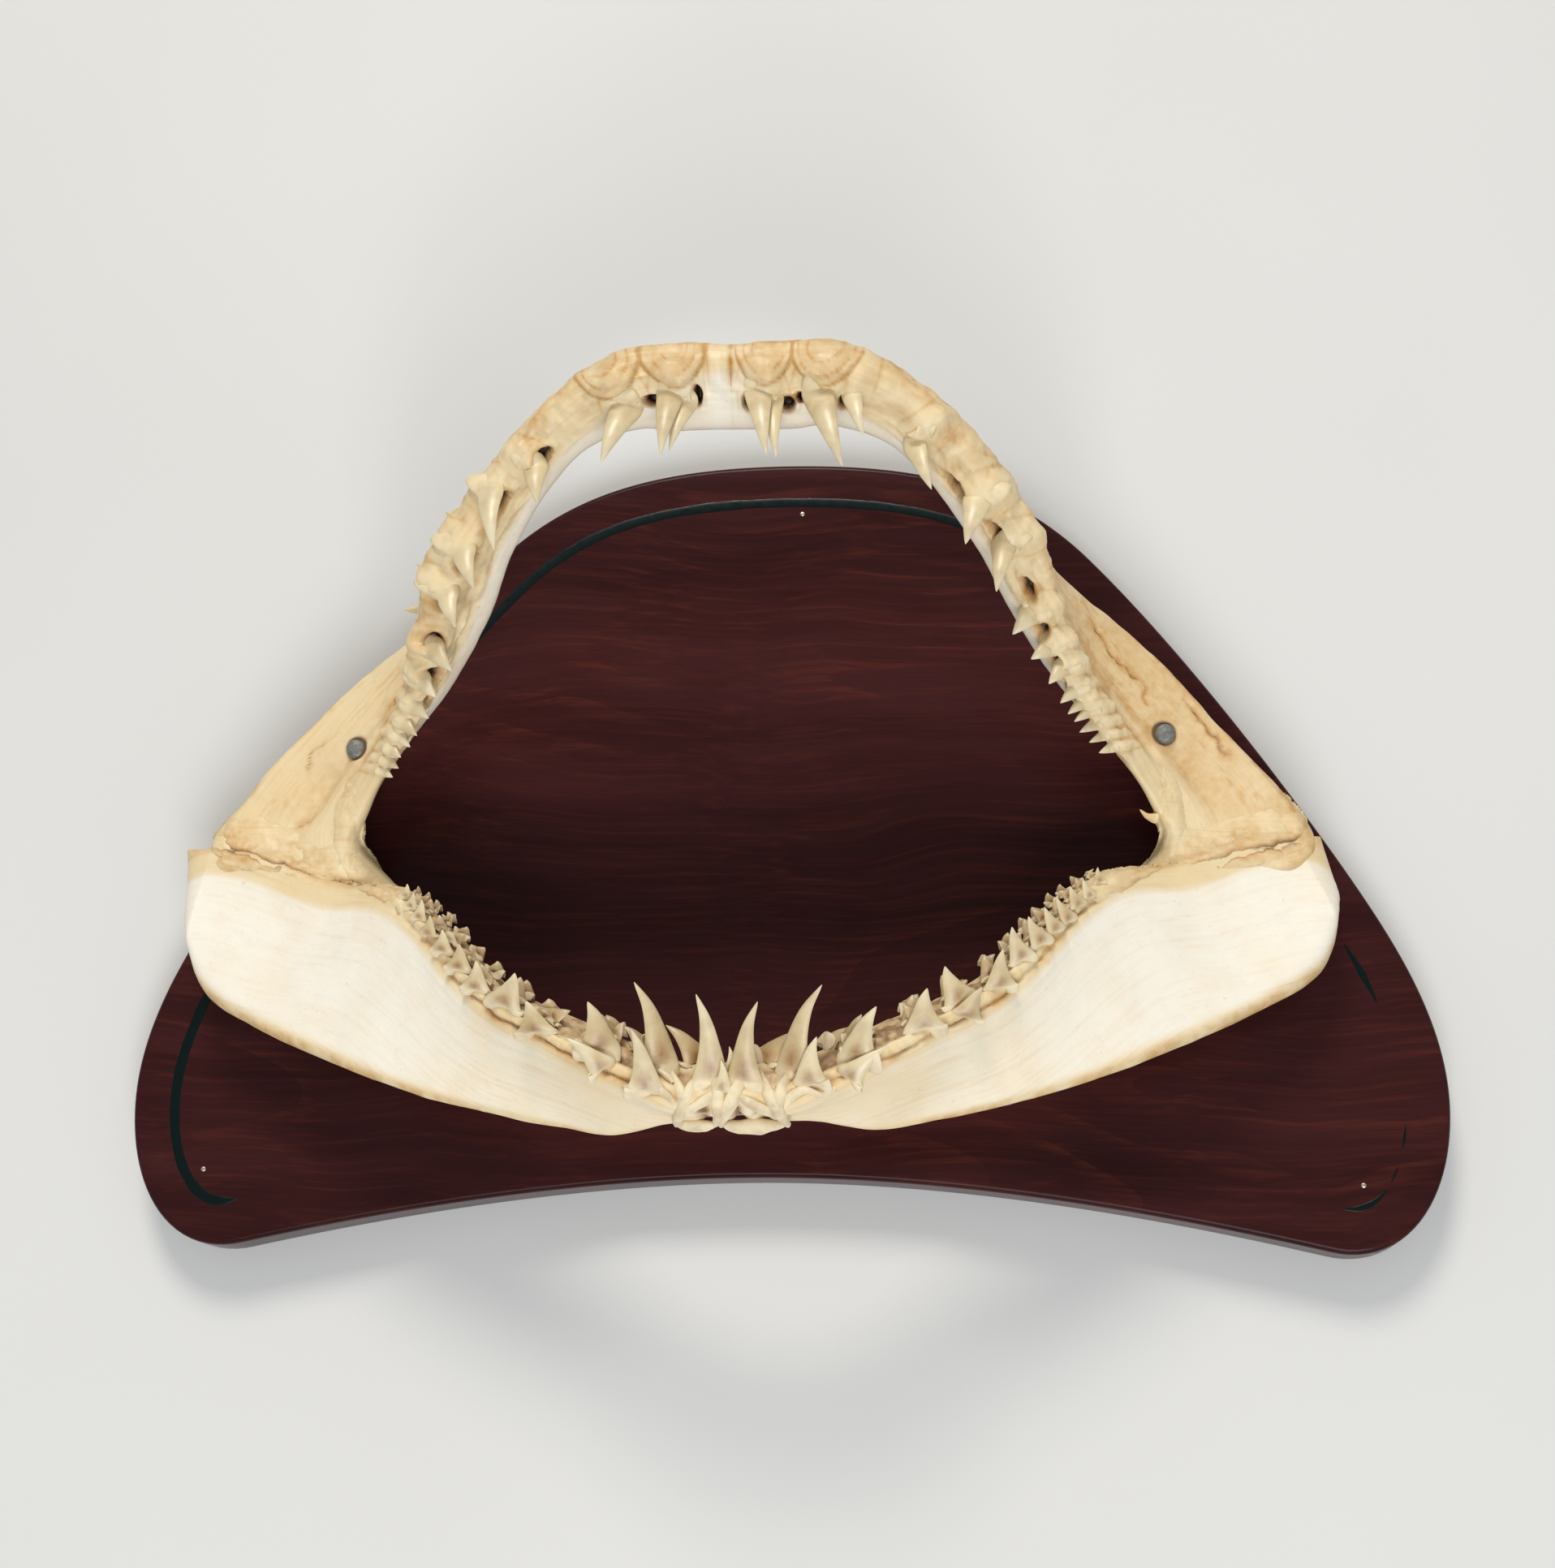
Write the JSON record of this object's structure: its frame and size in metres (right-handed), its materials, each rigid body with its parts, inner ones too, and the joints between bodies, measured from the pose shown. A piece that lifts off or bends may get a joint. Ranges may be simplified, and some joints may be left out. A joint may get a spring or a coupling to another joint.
{
  "type": "mounted shark jaw",
  "caption": "Dried shark jaws gaping wide, with long hooked teeth, screwed to a dark stained shield-shaped plaque that lies on its back.",
  "frame": {"origin": "middle of the outline at the back face of the plaque, which lies on the floor", "axes": "+Z out of the plaque's face towards the viewer, +Y towards the upper jaw, +X to the viewer's right along the plaque's width"},
  "size_m": [0.456, 0.2854, 0.1534],
  "materials": {
    "dried_cartilage": "dried scraped cartilage, cream to tan, satin",
    "tooth_enamel": "ivory tooth enamel, semi-gloss, with brown roots",
    "stained_plywood": "mahogany-stained veneer plywood, semi-gloss varnish",
    "line_paint": "dark green painted border line, satin",
    "zinc_screw": "dull grey zinc",
    "brad_brass": "small bright nail head"
  },
  "bodies": {
    "root": {"plaque": "stained_plywood", "upper_jaw_right": "dried_cartilage", "upper_jaw_left": "dried_cartilage", "lower_jaw_right": "dried_cartilage", "lower_jaw_left": "dried_cartilage", "screw_right": "zinc_screw", "screw_left": "zinc_screw", "brad_top": "brad_brass", "brad_left": "brad_brass", "brad_right": "brad_brass"}
  },
  "joints": []
}
